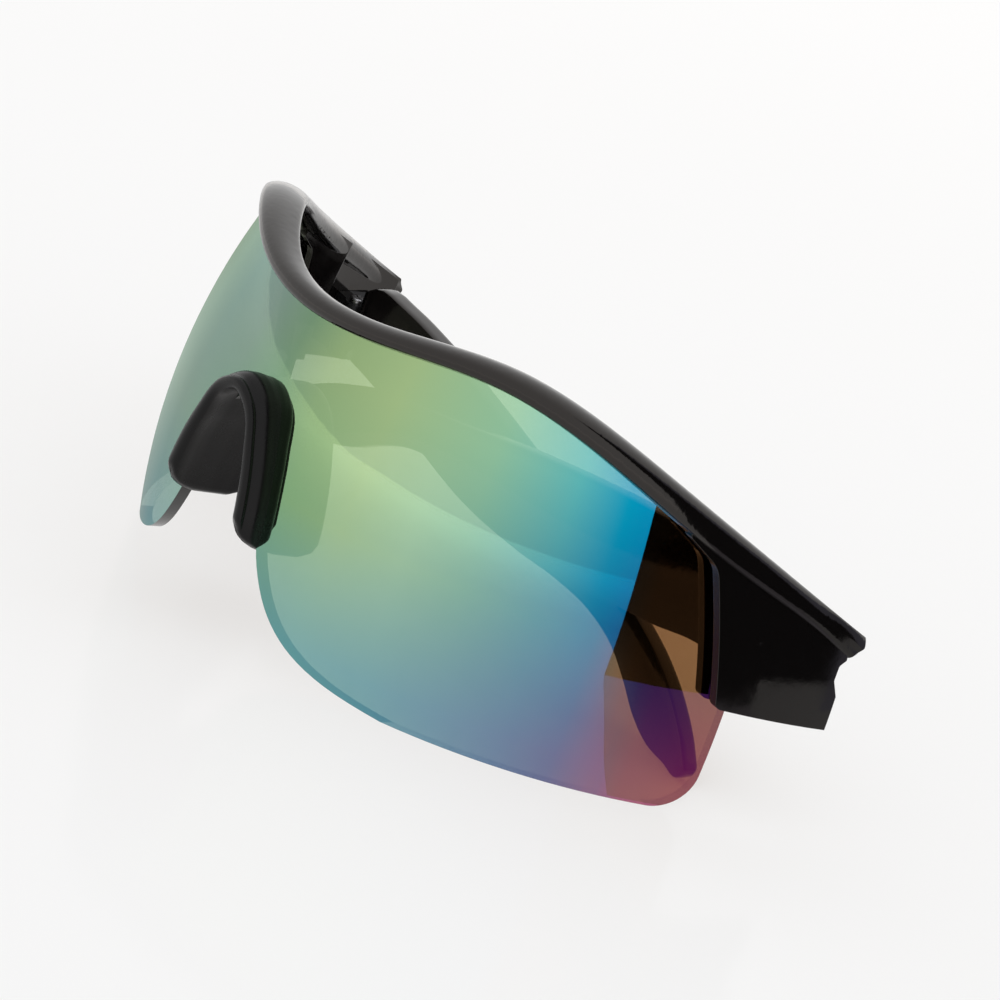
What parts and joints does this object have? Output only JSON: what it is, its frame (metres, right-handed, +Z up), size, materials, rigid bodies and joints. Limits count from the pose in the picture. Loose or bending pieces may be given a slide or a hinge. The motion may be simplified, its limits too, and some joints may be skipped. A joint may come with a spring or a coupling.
{
  "type": "wrap-around shield sunglasses",
  "caption": "Wrap-around shield sunglasses with a mirrored single lens under a brow bar, a rubber nose piece and two folding arms on screwed hinges.",
  "frame": {"origin": "middle of the base of the bounding box, on the plane that the lower edges of the lens stand on", "axes": "+X towards the wearer's left, +Y towards the back of the wearer's head, +Z up; the lens faces -Y"},
  "size_m": [0.1384, 0.0768, 0.0573],
  "materials": {
    "frame_black": "glossy moulded nylon",
    "lens_mirror": "green to blue mirror film on brown tinted polycarbonate",
    "nose_rubber": "satin",
    "hinge_black": "black oxide",
    "screw_steel": "turned"
  },
  "bodies": {
    "front": {"brow_frame": "frame_black", "shield_lens": "lens_mirror", "nose_piece": "nose_rubber", "hinge_front_left": "hinge_black", "hinge_front_right": "hinge_black", "hinge_screw_left": "screw_steel", "hinge_screw_right": "screw_steel"},
    "left_arm": {"temple_left": "frame_black", "hinge_arm_left": "hinge_black"},
    "right_arm": {"temple_right": "frame_black", "hinge_arm_right": "hinge_black"}
  },
  "joints": [
    {"name": "left_hinge", "type": "hinge", "parent": "front", "child": "left_arm", "pos_m": [0.061, 0.0252, 0.0252], "axis": [-0.0489, 0, -0.9988], "range_deg": [0, 95]},
    {"name": "right_hinge", "type": "hinge", "parent": "front", "child": "right_arm", "pos_m": [-0.061, 0.0252, 0.0252], "axis": [0.0489, 0, 0.9988], "range_deg": [0, 89]}
  ]
}
